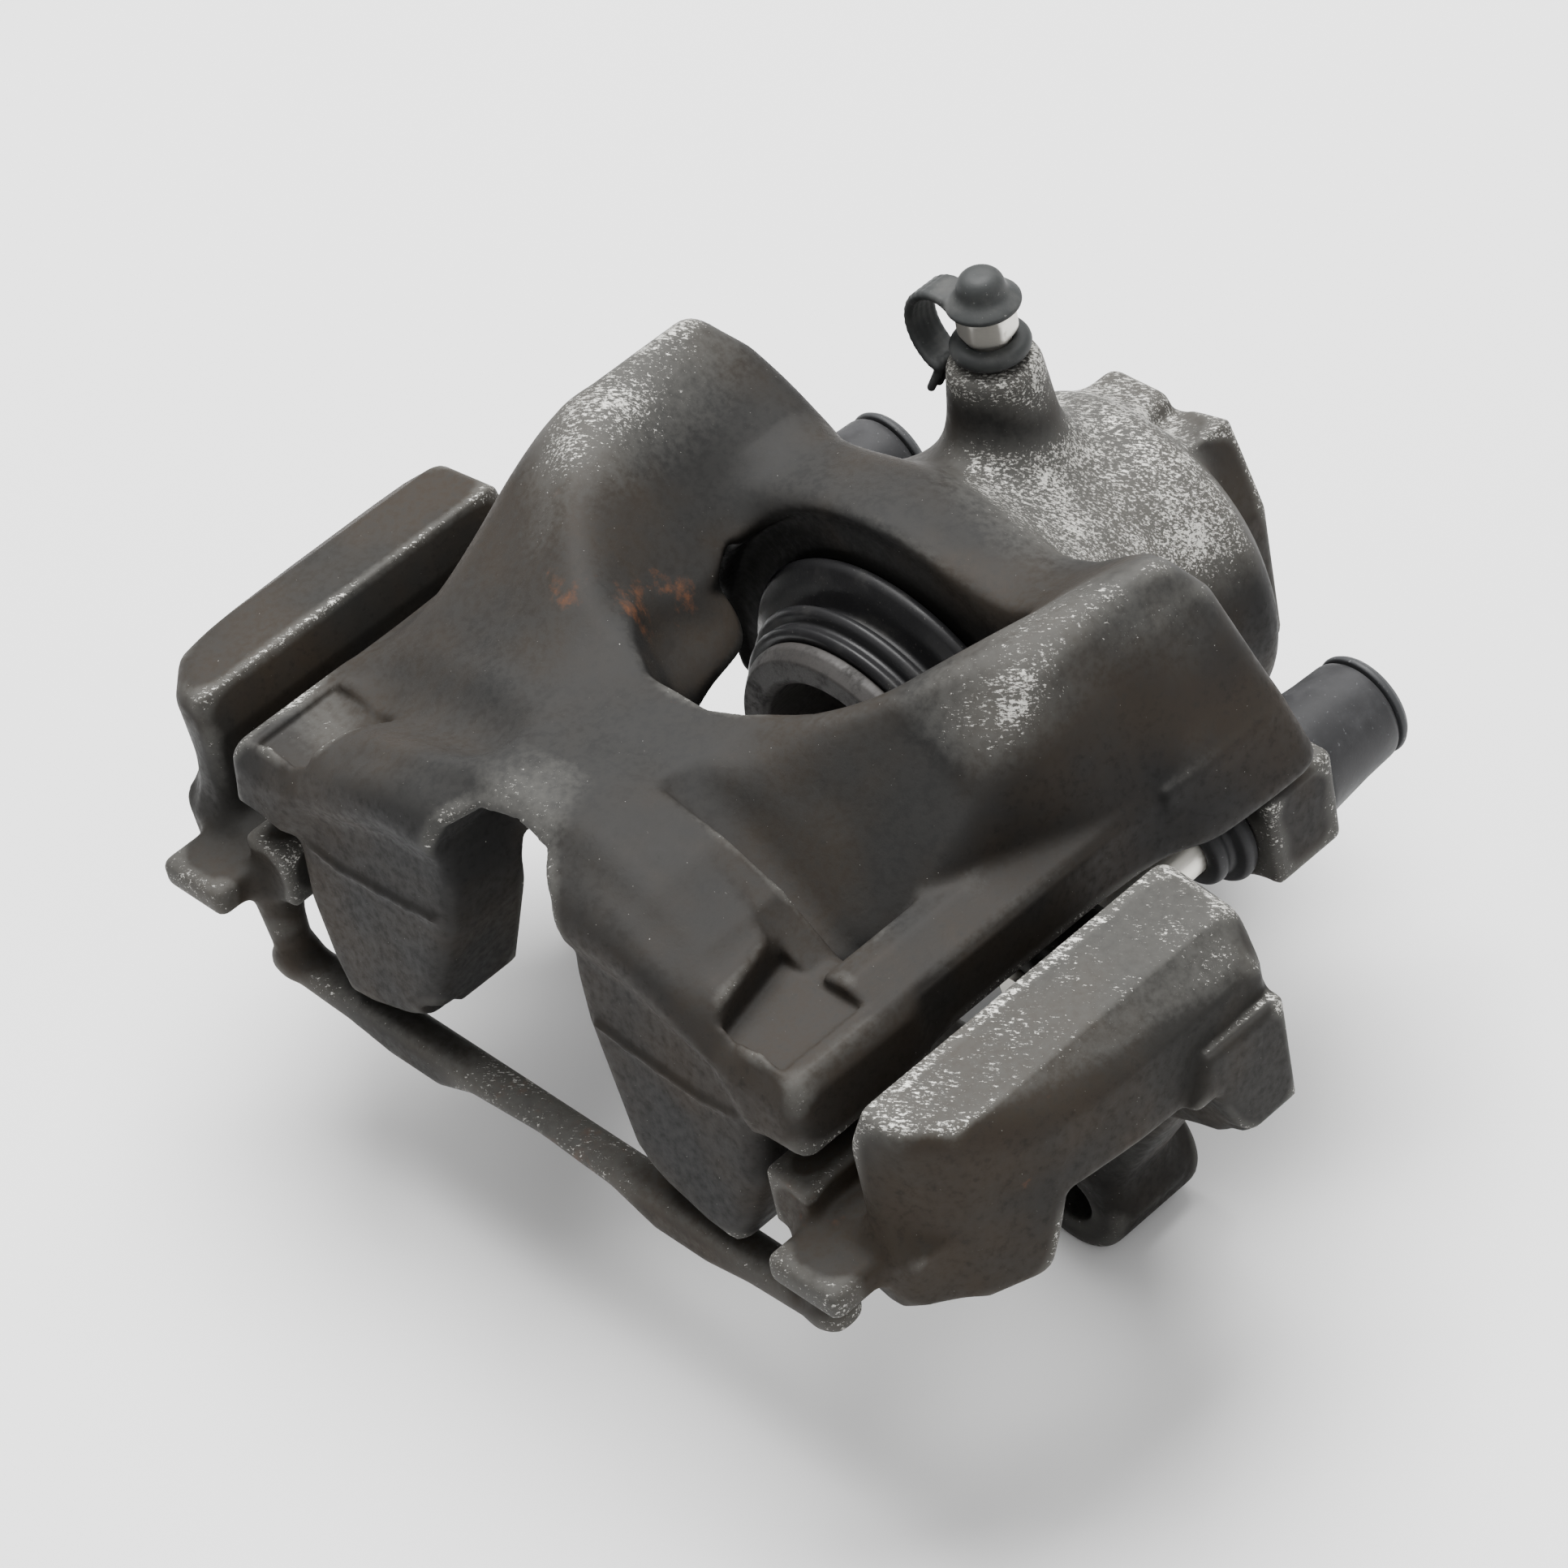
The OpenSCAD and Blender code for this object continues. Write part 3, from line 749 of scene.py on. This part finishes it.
# ---------------------------------------------------------------- materials
class Shader:
    """Short calls for building one material's nodes."""

    def __init__(self, name):
        self.material = bpy.data.materials.new(name)
        self.material.use_nodes = True
        self.tree = self.material.node_tree
        self.bsdf = self.tree.nodes["Principled BSDF"]
        self.coords = self.tree.nodes.new("ShaderNodeTexCoord").outputs["Object"]

    def node(self, kind, **settings):
        n = self.tree.nodes.new("ShaderNode" + kind)
        for key, value in settings.items():
            setattr(n, key, value)
        return n

    def link(self, source, target):
        self.tree.links.new(source, target)

    def noise(self, scale, detail=4, rough=0.55, stretch=None, turn=0.0, shift=0.0):
        """Noise from 0 to 1. scale is per metre."""
        mapping = self.node("Mapping")
        mapping.inputs["Scale"].default_value = stretch or (1, 1, 1)
        mapping.inputs["Location"].default_value = (shift, shift * 0.7, shift * 1.3)
        source = self.coords
        if turn:
            spin = self.node("Mapping")
            spin.inputs["Rotation"].default_value = (0, 0, turn)
            self.link(source, spin.inputs["Vector"])
            source = spin.outputs["Vector"]
        self.link(source, mapping.inputs["Vector"])
        n = self.node("TexNoise")
        n.inputs["Scale"].default_value = scale
        n.inputs["Detail"].default_value = detail
        n.inputs["Roughness"].default_value = rough
        self.link(mapping.outputs["Vector"], n.inputs["Vector"])
        return n.outputs["Fac"]

    def mark(self, name):
        n = self.node("Attribute")
        n.attribute_name = name
        return n.outputs["Fac"]

    def math(self, operation, a, b=0.0, c=None, clamp=False):
        n = self.node("Math", operation=operation, use_clamp=clamp)
        for i, value in enumerate((a, b, c)):
            if value is None:
                continue
            if isinstance(value, (int, float)):
                n.inputs[i].default_value = value
            else:
                self.link(value, n.inputs[i])
        return n.outputs[0]

    def step(self, value, low, high, out_low=0.0, out_high=1.0):
        n = self.node("MapRange", interpolation_type="SMOOTHSTEP")
        self.link(value, n.inputs["Value"])
        for key, v in (("From Min", low), ("From Max", high), ("To Min", out_low), ("To Max", out_high)):
            if isinstance(v, (int, float)):
                n.inputs[key].default_value = v
            else:
                self.link(v, n.inputs[key])
        return n.outputs["Result"]

    def mix(self, factor, a, b):
        """Colours a to b by factor."""
        n = self.node("Mix", data_type="RGBA")
        self.link(factor, n.inputs[0])
        for socket, value in ((n.inputs[6], a), (n.inputs[7], b)):
            if isinstance(value, tuple):
                socket.default_value = (*value, 1)
            else:
                self.link(value, socket)
        return n.outputs[2]

    def bump(self, height, distance, strength=1.0, under=None):
        n = self.node("Bump")
        n.inputs["Strength"].default_value = strength
        n.inputs["Distance"].default_value = distance * MM
        self.link(height, n.inputs["Height"])
        if under:
            self.link(under, n.inputs["Normal"])
        return n.outputs["Normal"]

    def finish(self, colour, roughness, metallic, normal, specular=0.5):
        self.link(colour, self.bsdf.inputs["Base Color"])
        self.link(roughness, self.bsdf.inputs["Roughness"])
        if isinstance(metallic, float):
            self.bsdf.inputs["Metallic"].default_value = metallic
        else:
            self.link(metallic, self.bsdf.inputs["Metallic"])
        self.link(normal, self.bsdf.inputs["Normal"])
        self.bsdf.inputs["Specular IOR Level"].default_value = specular
        return self.material


def iron(name, dark, brown, shift=0.0):
    """Old cast iron: dark coating, brown staining, fine cast grain, bright chips and a little rust, with
    painted shade in hollows and on inner faces, and a grey film on upward faces that is part dust, part
    painted light.
    """
    m = Shader(name)
    patches = m.noise(26, 4, shift=shift)
    cloud = m.noise(95, 6, 0.6, shift=shift + 3)
    grit = m.noise(620, 6, 0.65, shift=shift)
    grain_a = m.noise(1050, 3, 0.6, shift=shift)
    pits = m.noise(300, 3, 0.5, shift=shift + 7)
    colour = m.mix(m.step(patches, 0.38, 0.62), dark, brown)
    colour = m.mix(m.step(cloud, 0.35, 0.75, 0, 0.4), colour, tuple(v * 1.4 for v in dark))
    colour = m.mix(m.step(grit, 0.5, 0.72, 0, 0.35), colour, tuple(v * 0.45 for v in dark))
    # Painted shade: concave hollows are darkened to a deep brown
    painted_hollow_shade = m.step(m.mark("form"), -0.02, -0.16, 0, 0.6)
    colour = m.mix(painted_hollow_shade, colour, tuple(v * 0.45 for v in brown))
    rust_cloud = m.noise(170, 7, 0.68, shift=shift + 13)
    rust = m.step(m.math("ADD", m.mark("rust"), m.math("MULTIPLY", rust_cloud, 1.3)), 1.02, 1.3, 0, 0.7)
    colour = m.mix(rust, colour, m.mix(grit, (0.16, 0.062, 0.026), (0.07, 0.032, 0.018)))
    # Painted shade: near-black on the inner faces that lie in shadow
    colour = m.mix(m.math("MULTIPLY", m.mark("painted_inner_shade"), m.step(cloud, 0.2, 0.6, 0.8, 1)), colour,
                   (0.006, 0.0058, 0.0055))
    # Grey film on faces that look up, part dust and part painted light on the tops, light bloom on worn
    # stretches, then sharp bright chips
    film = m.math("MULTIPLY", m.mark("dust"), m.step(grit, 0.35, 0.65, 0.15, 0.5))
    colour = m.mix(film, colour, (0.038, 0.037, 0.035))
    wear = m.math("ADD", m.mark("chips"), m.step(m.mark("edge"), 0.12, 0.34, 0, 0.8), clamp=True)
    bloom = m.step(m.math("ADD", wear, m.math("MULTIPLY", grit, 0.6)), 0.55, 1.35, 0, 0.5)
    colour = m.mix(bloom, colour, (0.11, 0.108, 0.1))
    streak = m.noise(1, 9, 0.74, stretch=(620, 2400, 2400), turn=-0.62, shift=shift + 1)
    flake = m.noise(1150, 8, 0.78, shift=shift + 5)
    both = m.math("ADD", m.math("MULTIPLY", streak, 0.6), m.math("MULTIPLY", flake, 0.4))
    both = m.math("ADD", both, m.math("MULTIPLY", cloud, 0.22))
    level = m.math("SUBTRACT", 0.86, m.math("MULTIPLY", wear, 0.24))
    chip = m.step(both, level, m.math("ADD", level, 0.035))
    speck = m.step(m.noise(1900, 3, 0.6, shift=shift + 9), 0.745, 0.775, 0, 0.6)
    chip = m.math("MAXIMUM", chip, speck)
    colour = m.mix(chip, colour, m.mix(grit, (0.36, 0.35, 0.32), (0.68, 0.67, 0.63)))
    rough = m.math("ADD", m.step(grit, 0.3, 0.7, 0.5, 0.68), m.math("MULTIPLY", rust, 0.2))
    metal = m.math("MULTIPLY", chip, 0.55)
    height = m.math("ADD", m.math("MULTIPLY", grit, 0.6), m.math("MULTIPLY", grain_a, 0.4))
    height = m.math("SUBTRACT", height, m.math("MULTIPLY", m.step(pits, 0.42, 0.3), 0.35))
    normal = m.bump(height, 0.05)
    normal = m.bump(m.math("SUBTRACT", 1.0, chip), 0.03, under=normal)
    return m.finish(colour, rough, metal, normal, 0.07)


def rubber(name, colour, dust, rough=0.5, dusty=0.5, shift=0.0):
    """Rubber with a film of grey dust in patches."""
    m = Shader(name)
    cloud = m.noise(110, 6, 0.62, shift=shift)
    fine = m.noise(1300, 4, 0.6, shift=shift)
    film = m.step(cloud, 0.62 - 0.25 * dusty, 0.85 - 0.1 * dusty, 0.06, 0.8)
    base = m.mix(film, colour, dust)
    speck = m.step(m.noise(1500, 2, 0.5, shift=shift + 4), 0.7, 0.74, 0, 0.5)
    base = m.mix(speck, base, tuple(min(1, v * 2.2) for v in dust))
    roughness = m.step(cloud, 0.3, 0.8, rough - 0.08, rough + 0.2)
    return m.finish(base, roughness, 0.0, m.bump(fine, 0.03), 0.2)


def steel(name, bright, dirt, rough=0.35, amount=0.5, metal=0.85, shift=0.0):
    """Plated steel with dirt in patches and fine scratches."""
    m = Shader(name)
    cloud = m.noise(230, 6, 0.65, shift=shift)
    fine = m.noise(1, 5, 0.6, stretch=(2400, 240, 2400), shift=shift)
    stain = m.step(cloud, 0.72 - 0.3 * amount, 0.86 - 0.2 * amount, 0, 0.9)
    base = m.mix(stain, m.mix(fine, tuple(v * 0.8 for v in bright), bright), dirt)
    roughness = m.math("ADD", m.step(fine, 0.3, 0.7, rough - 0.06, rough + 0.1),
                       m.math("MULTIPLY", stain, 0.3))
    metallic = m.step(stain, 0, 1, metal, 0.1)
    return m.finish(base, roughness, metallic, m.bump(m.math("ADD", fine, stain), 0.02), 0.5)


# ---------------------------------------------------------------- soft and turned parts
def make_boot(material):
    """Bellows from the bore mouth to the piston nose, with a broad outer fold and two ridges."""
    r = PISTON_R
    low = NOSE_Y
    profile = [
        (r - 1.7, low + 4.3), (r + 1.2, low + 4.0), (r + 2.4, low + 5.0), (r + 1.6, low + 6.4),
        (r + 1.8, low + 7.2), (r + 3.6, low + 7.6), (r + 4.4, low + 8.8), (r + 3.6, low + 10.0),
        (r + 1.4, low + 10.6), (r + 1.6, low + 12.0), (r + 6.4, low + 13.0), (r + 9.3, low + 14.2),
        (r + 9.9, low + 15.6), (r + 9.0, low + 16.8), (r + 5.0, low + 17.4), (r + 2.6, low + 18.2),
        (r + 1.1, low + 18.9), (r + 1.1, MOUTH_Y + 7.0), (r + 0.3, MOUTH_Y + 7.0),
        (r + 0.3, low + 8.7), (r - 1.7, low + 8.7)]
    boot = lathe("piston_boot_bellows", profile, (0, 0), r=1.0, turns=180, gap=0.8, wobble=0.0006, seed=3)
    boot.data.materials.append(material)
    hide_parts("piston_boot")
    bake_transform(boot)
    return boot


def make_piston():
    """Hollow cup, open outboard, with a groove for the boot."""
    r, wall = PISTON_R, 7
    n, e = NOSE_Y, PISTON_END
    profile = [(0, e), (r, e), (r, n + 9), (r - 2, n + 9), (r - 2, n + 4), (r, n + 4), (r, n + 2.2),
               (r - 1.6, n), (r - wall + 1.2, n), (r - wall, n + 1.2), (r - wall, e - 9), (0, e - 9)]
    return lathe("piston_cup", profile, (0, 0), r=0.5, turns=160, gap=3)


def make_pin(side, material):
    """Guide pin with a narrow groove and a socket in its head."""
    r = PIN_R
    start, head = limits("guide_pin_right")[0][1], limits("guide_pin_right")[1][1]
    profile = [(0, start), (r - 0.9, start), (r - 0.9, -5.6), (r, -5.6), (r, 9.5), (r - 0.35, 9.8),
               (r - 0.35, 10.6), (r, 10.9), (r, head - 0.4), (r - 0.6, head), (3.4, head),
               (3.4, head - 5), (0, head - 5)]
    name = "guide_pin_" + ("right" if side > 0 else "left")
    obj = lathe(name + "_shank", profile, (side * PIN_X, PIN_Z), r=0.25, turns=64, gap=4)
    return place(obj, "carrier", name, material, "zinc_steel")


def make_bush(side, rubber_look, cap_look):
    """Rubber bush with a lip in front of the ear and a long sleeve behind it, closed by a plug."""
    hole = PIN_R + 0.1
    end = limits("guide_bush_right")[1][1]
    profile = [(hole, 19), (5.6, 18.9), (7.4, 19.3), (7.8, 21.2), (7.0, 22.4), (7.4, 23.4), (9.6, 23.9),
               (10.2, 25), (9.8, 26.6), (8.6, 27.3), (8.0, 27.6), (8.0, 43.9), (10.9, 44.0),
               (11.3, 45.2), (11.0, 48), (10.3, 56), (10.0, end - 1.2), (9.2, end), (7.5, end),
               (7.5, 62), (hole, 59)]
    name = "guide_bush_" + ("right" if side > 0 else "left")
    bush = lathe(name + "_sleeve", profile, (side * PIN_X, PIN_Z), r=0.9, turns=128, gap=1.5,
                 wobble=0.0012, seed=5)
    place(bush, "caliper", name, rubber_look, "bush_rubber")
    top = limits("bush_cap_right")[1][1]
    profile = [(0, 62), (7.4, 62), (7.4, end + 0.2), (9.9, end + 0.2), (10.1, end + 1), (9.3, top - 0.3),
               (7.6, top), (6.6, top - 0.9), (0, top - 0.9)]
    name = "bush_cap_" + ("right" if side > 0 else "left")
    cap = lathe(name + "_plug", profile, (side * PIN_X, PIN_Z), r=0.6, turns=96, gap=1.5)
    place(cap, "caliper", name, cap_look, "cap_plastic")


def make_bleeder(material):
    """Bleeder screw: thread, collar, hexagon and nipple."""
    x, y = BLEEDER_X, BLEEDER_Y
    space = Casting((x - 7, y - 7, BOSS_TOP - 22), (x + 7, y + 7, BLEEDER_TOP + 1), FINE_STEP)
    corner = 10 / math.sqrt(3)
    planes = [half_space((x + 5 * math.cos(a), y + 5 * math.sin(a), 0), (math.cos(a), math.sin(a), 0))
              for a in (math.radians(15 + 60 * i) for i in range(6))]
    cone = rod((x, y), corner - 0.2, (BOSS_TOP + 5, BOSS_TOP + 11), along="z", edge=0.8)
    space.join(meet(planes + [cone[0]], cone[1] - 1, cone[2] + 1, k=0.5), k=0)
    space.join(rod((x, y), 3.9, (BOSS_TOP - 20, BOSS_TOP + 6), along="z", edge=0.4), k=0.4)
    space.join(rod((x, y), 3.0, (BOSS_TOP + 10, BLEEDER_TOP), along="z", edge=0.6), k=0.6)
    points, quads = space.surface()
    obj = new_object("bleeder_screw_body", points, quads)
    return place(obj, "bleeder", "bleeder_screw", material, "bleeder_steel")


def make_cap(material):
    """Dust cap: dome with a wide flange, a ring around the screw, and the strap that joins them."""
    x, y = BLEEDER_X, BLEEDER_Y
    z = BOSS_TOP
    space = Casting((x - 18, y - 11, z - 8), (x + 11, y + 11, z + 20), FINE_STEP)
    # Ring around the screw's neck, with a rolled rim
    space.join(rod((x, y), 7.2, (z + 0.6, z + 4.4), along="z", r_end=7.6, edge=1.2), k=0)
    space.cut(rod((x, y), 4.2, (z - 1, z + 6), along="z", edge=0.2), k=0.6)
    # Flange and dome
    space.join(rod((x, y), 7.4, (z + 11.0, z + 13.2), along="z", r_end=6.4, edge=0.9), k=0.5)
    space.join(rod((x, y), 4.6, (z + 11.4, z + 18.2), along="z", r_end=4.2, edge=1.7), k=2.2)
    space.cut(rod((x, y), 3.3, (z + 9, z + 16.6), along="z", edge=0.3), k=0.5)
    # Strap: a flat ribbon in a loop out to the side, from the flange round to the ring
    loop, count = [], 18
    for i in range(count + 1):
        t = i / count
        angle = math.radians(62 + 200 * t)
        swell = 1 + 0.12 * math.sin(math.pi * t)
        loop.append((x - 7.2 + 6.2 * swell * math.cos(angle), y - 2 - 1.5 * t,
                     z + 5.2 + 7.6 * math.sin(angle)))
    ribbon = 2.6
    for a, b in zip(loop, loop[1:]):
        for shift in (-ribbon, -ribbon / 2, 0, ribbon / 2, ribbon):
            space.join(sausage((a[0], a[1] + shift, a[2]), (b[0], b[1] + shift, b[2]), 0.75, 0.75), k=0.7)
    # Tail hanging below the ring
    for shift in (-2, 0, 2):
        top, tip = (x - 7.6, y - 3 + shift, z - 1.6), (x - 9.6, y - 5 + shift, z - 7)
        space.join(sausage(top, tip, 0.9, 0.8), k=0.8)
    space.cut(rod((x, y), 6.3, (z + 4.8, z + 10.9), along="z", edge=0.2), k=0.3)
    points, quads = space.surface()
    obj = new_object("bleeder_cap_strap", points, quads)
    return place(obj, "caliper", "bleeder_cap", material, "cap_rubber")


# ---------------------------------------------------------------- camera, light and floor
def camera_and_light():
    az, el, roll = map(math.radians, (54.0, 41.83, -12.42))
    forward = Vector((-math.sin(az) * math.cos(el), math.cos(az) * math.cos(el), -math.sin(el)))
    right = Vector((math.cos(az), math.sin(az), 0))
    up = right.cross(forward)
    right2 = right * math.cos(roll) + up * math.sin(roll)
    up2 = up * math.cos(roll) - right * math.sin(roll)
    target = Vector((0, 9, AXIS_Z))
    # How far the target lies from the camera, in millimetres: to the right, below and away
    aside, below, away = 21.01, -8.37, 1006.19
    eye = target - right2 * aside + up2 * below - forward * away
    data = bpy.data.cameras.new("camera")
    data.sensor_width = 36
    data.lens = 130.43929
    camera = bpy.data.objects.new("camera", data)
    matrix = Matrix((right2, up2, -forward)).transposed().to_4x4()
    matrix.translation = eye * MM
    camera.matrix_world = matrix
    data.clip_start = 0.05
    data.clip_end = 20
    bpy.context.scene.collection.objects.link(camera)
    bpy.context.scene.camera = camera

    def area(name, position, target, size, power):
        light = bpy.data.lights.new(name, "AREA")
        light.size = size
        light.energy = power
        obj = bpy.data.objects.new(name, light)
        obj.location = position
        direction = Vector(target) - Vector(position)
        obj.rotation_euler = direction.to_track_quat("-Z", "Y").to_euler()
        bpy.context.scene.collection.objects.link(obj)
    area("key", (-0.35, 0.35, 1.6), (0, 0, 0.05), 1.3, 85)
    area("fill", (1.2, -0.4, 1.3), (0, 0, 0.05), 1.4, 6)
    world = bpy.data.worlds.new("world")
    world.use_nodes = True
    tree = world.node_tree
    background = tree.nodes["Background"]
    across = tree.nodes.new("ShaderNodeSeparateXYZ")
    tree.links.new(tree.nodes.new("ShaderNodeTexCoord").outputs["Generated"], across.inputs[0])
    ramp = tree.nodes.new("ShaderNodeMapRange")
    for key, value in (("From Min", 0.0), ("From Max", 0.8), ("To Min", 0.3), ("To Max", 1.0)):
        ramp.inputs[key].default_value = value
    tree.links.new(across.outputs["Z"], ramp.inputs["Value"])
    tree.links.new(ramp.outputs["Result"], background.inputs["Color"])
    background.inputs["Strength"].default_value = 0.9
    bpy.context.scene.world = world


def make_floor():
    z = cad_low[2]
    s = 3.0
    mesh = bpy.data.meshes.new("floor")
    mesh.from_pydata([(-s, -s, z), (s, -s, z), (s, s, z), (-s, s, z)], [], [(0, 1, 2, 3)])
    floor = bpy.data.objects.new("floor", mesh)
    bpy.context.scene.collection.objects.link(floor)
    m = Shader("pale_floor")
    cloud = m.noise(3, 3)
    colour = m.mix(cloud, (0.86, 0.86, 0.86), (0.9, 0.9, 0.9))
    mesh.materials.append(m.finish(colour, m.step(cloud, 0, 1, 0.7, 0.8), 0.0, m.bump(cloud, 0.01), 0.2))


# ---------------------------------------------------------------- the object
HOUSING_IRON = iron("housing_iron", (0.017, 0.0168, 0.0165), (0.026, 0.021, 0.0165))
CARRIER_IRON = iron("carrier_iron", (0.0185, 0.0178, 0.0165), (0.03, 0.0235, 0.0175), shift=11)
ZINC = steel("zinc_steel", (0.72, 0.7, 0.64), (0.22, 0.18, 0.13), 0.36, 0.45)
BLEEDER_STEEL = steel("bleeder_steel", (0.7, 0.68, 0.63), (0.2, 0.17, 0.13), 0.38, 0.5, shift=4)
PISTON_STEEL = steel("piston_steel", (0.028, 0.025, 0.023), (0.012, 0.011, 0.01), 0.6, 0.9, metal=0.1,
                     shift=6)
RING_STEEL = steel("ring_steel", (0.5, 0.49, 0.47), (0.2, 0.17, 0.14), 0.4, 0.4, shift=8)
BUSH_RUBBER = rubber("bush_rubber", (0.02, 0.02, 0.021), (0.05, 0.05, 0.052), 0.55, 0.8)
BOOT_RUBBER = rubber("boot_rubber", (0.011, 0.011, 0.012), (0.05, 0.048, 0.044), 0.38, 0.4, shift=2)
SEAL_RUBBER = rubber("seal_rubber", (0.02, 0.02, 0.02), (0.06, 0.06, 0.06), 0.4, 0.2, shift=5)
CAP_RUBBER = rubber("cap_rubber", (0.028, 0.03, 0.03), (0.075, 0.075, 0.072), 0.55, 0.7, shift=3)
CAP_PLASTIC = rubber("cap_plastic", (0.035, 0.036, 0.038), (0.1, 0.1, 0.1), 0.55, 0.6, shift=7)

place(make_housing(), "caliper", "caliper_housing", HOUSING_IRON, "housing_iron")
place(make_carrier(), "carrier", "carrier_bracket", CARRIER_IRON, "carrier_iron")
make_boot(BOOT_RUBBER)
place(make_piston(), "piston", "piston", PISTON_STEEL, "piston_steel")
for side in (-1, 1):
    make_pin(side, ZINC)
    make_bush(side, BUSH_RUBBER, CAP_PLASTIC)
make_bleeder(BLEEDER_STEEL)
make_cap(CAP_RUBBER)
for node, look in (("piston_seal", SEAL_RUBBER), ("boot_ring", RING_STEEL)):
    for i in range(len(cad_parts[node].material_slots)):
        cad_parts[node].material_slots[i].material = look

camera_and_light()
make_floor()
